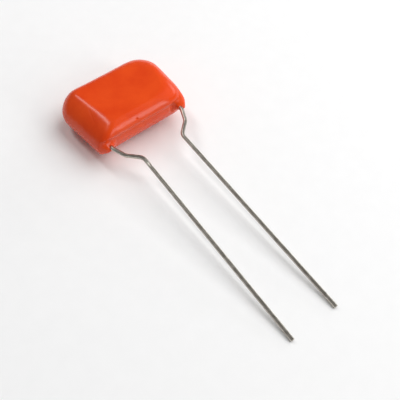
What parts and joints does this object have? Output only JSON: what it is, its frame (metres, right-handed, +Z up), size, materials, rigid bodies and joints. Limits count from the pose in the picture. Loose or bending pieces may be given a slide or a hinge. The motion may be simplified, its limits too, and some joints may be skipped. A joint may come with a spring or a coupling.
{
  "type": "film capacitor",
  "caption": "Dipped radial film capacitor lying on its broad side: rounded orange block with two inward-kinked tinned wire leads.",
  "frame": {"origin": "on the ground under the middle of the whole part's box, leads included", "axes": "-Y along the leads from the body, X along the body's winding, +Z up through the body's thickness"},
  "size_m": [0.0176, 0.0518, 0.0071],
  "materials": {
    "orange_epoxy": "gloss",
    "metallised_film": "satin",
    "sprayed_metal": "matte",
    "tinned_wire": "satin"
  },
  "bodies": {
    "root": {"epoxy_coat": "orange_epoxy", "film_winding": "metallised_film", "end_spray_left": "sprayed_metal", "end_spray_right": "sprayed_metal", "lead_left": "tinned_wire", "lead_right": "tinned_wire"}
  },
  "joints": []
}
